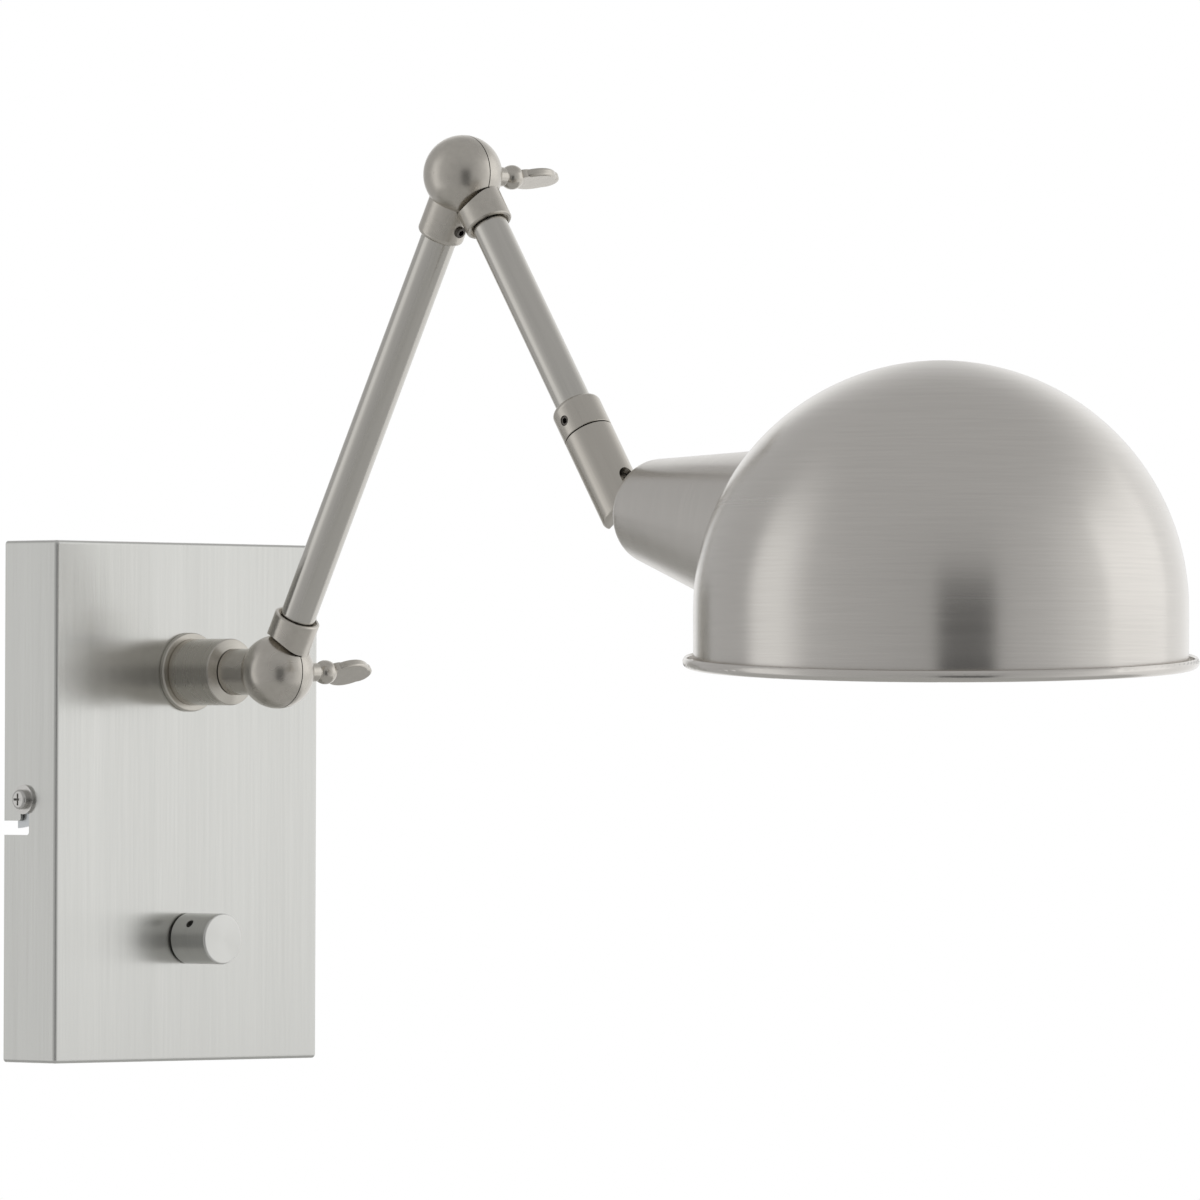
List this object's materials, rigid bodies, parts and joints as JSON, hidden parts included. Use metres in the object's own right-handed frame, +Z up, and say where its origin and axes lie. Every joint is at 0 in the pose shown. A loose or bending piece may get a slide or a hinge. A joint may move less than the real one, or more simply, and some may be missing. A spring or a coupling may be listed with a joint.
{
  "type": "wall reading lamp",
  "caption": "Wall reading lamp: flat box canopy with a dimmer knob, ball-jointed folding arm with thumb screws, tapered cup and spun dome shade.",
  "frame": {"origin": "centre of the canopy's back, on the wall face of the mounting strap", "axes": "+Z up along the canopy's long side, -Y out of the wall, +X to the right seen from the room"},
  "size_m": [0.1704, 0.4875, 0.3235],
  "materials": {
    "brushed_nickel": "brushed nickel plate, clear lacquer",
    "zinc_plated_steel": "bright zinc plate",
    "screw_steel": "nickel plated, machined",
    "green_earth_screw": "green passivated",
    "black_nylon": "matte",
    "dimmer_case": "moulded",
    "phenolic": "moulded phenolic",
    "brass": "bright"
  },
  "bodies": {
    "base": {"canopy": "brushed_nickel", "mounting_bracket": "zinc_plated_steel", "canopy_screws": "brushed_nickel", "canopy_screw_washers": "brushed_nickel", "earth_screw": "green_earth_screw", "post_flange": "brushed_nickel", "post_barrel": "brushed_nickel", "post_nipple": "zinc_plated_steel", "post_lock_washer": "zinc_plated_steel", "post_lock_nut": "zinc_plated_steel", "dimmer_body": "dimmer_case", "dimmer_nut": "zinc_plated_steel"},
    "knob": {"dimmer_shaft": "screw_steel", "dimmer_knob": "brushed_nickel", "knob_set_screw": "screw_steel"},
    "swivel": {"swivel_knuckle": "brushed_nickel", "swivel_washer": "black_nylon", "swivel_clip": "zinc_plated_steel", "lower_friction_washer": "black_nylon"},
    "lower_arm": {"lower_arm_cap": "brushed_nickel", "lower_arm_tube": "brushed_nickel", "elbow_knuckle": "brushed_nickel", "elbow_set_screw": "screw_steel", "elbow_friction_washer": "black_nylon"},
    "lower_thumb": {"lower_thumb_screw": "brushed_nickel"},
    "elbow_thumb": {"elbow_thumb_screw": "brushed_nickel"},
    "upper_arm": {"upper_arm_cap": "brushed_nickel", "upper_arm_tube": "brushed_nickel", "head_sleeve": "brushed_nickel", "head_sleeve_set_screw": "screw_steel"},
    "head_swivel": {"head_knuckle": "brushed_nickel", "head_pivot_screw": "screw_steel"},
    "head": {"hinge_tongue": "brushed_nickel", "tongue_nut": "zinc_plated_steel", "socket_cup": "brushed_nickel", "lampholder_body": "phenolic", "lampholder_screw_shell": "brass", "lampholder_contact": "brass", "shade_ring": "phenolic", "shade": "brushed_nickel"}
  },
  "joints": [
    {"name": "arm_swivel", "type": "hinge", "parent": "base", "child": "swivel", "pos_m": [0, -0.05, 0.046], "axis": [0, -1, 0], "range_deg": [-150, 150]},
    {"name": "lower_tilt", "type": "hinge", "parent": "swivel", "child": "lower_arm", "pos_m": [0, -0.0734, 0.046], "axis": [1, 0, 0], "range_deg": [-38.5, 151.5]},
    {"name": "lower_thumb_turn", "type": "hinge", "parent": "swivel", "child": "lower_thumb", "pos_m": [0, -0.0734, 0.046], "axis": [1, 0, 0], "range_deg": [-360, 45]},
    {"name": "elbow_bend", "type": "hinge", "parent": "lower_arm", "child": "upper_arm", "pos_m": [0, -0.16668, 0.21781], "axis": [-1, 0, 0], "range_deg": [-2, 205]},
    {"name": "elbow_thumb_turn", "type": "hinge", "parent": "lower_arm", "child": "elbow_thumb", "pos_m": [0, -0.16668, 0.21781], "axis": [1, 0, 0], "range_deg": [-360, 45]},
    {"name": "head_twist", "type": "hinge", "parent": "upper_arm", "child": "head_swivel", "pos_m": [0.0013, -0.22789, 0.12653], "axis": [0, -0.5569, -0.8306], "range_deg": [-160, 160]},
    {"name": "head_tilt", "type": "hinge", "parent": "head_swivel", "child": "head", "pos_m": [0.0013, -0.24398, 0.10252], "axis": [-0.9968, 0.0666, -0.0447], "range_deg": [-90, 50]},
    {"name": "dimmer_turn", "type": "hinge", "parent": "base", "child": "knob", "pos_m": [0, -0.03, -0.0485], "axis": [0, -1, 0], "range_deg": [-135, 135]}
  ]
}
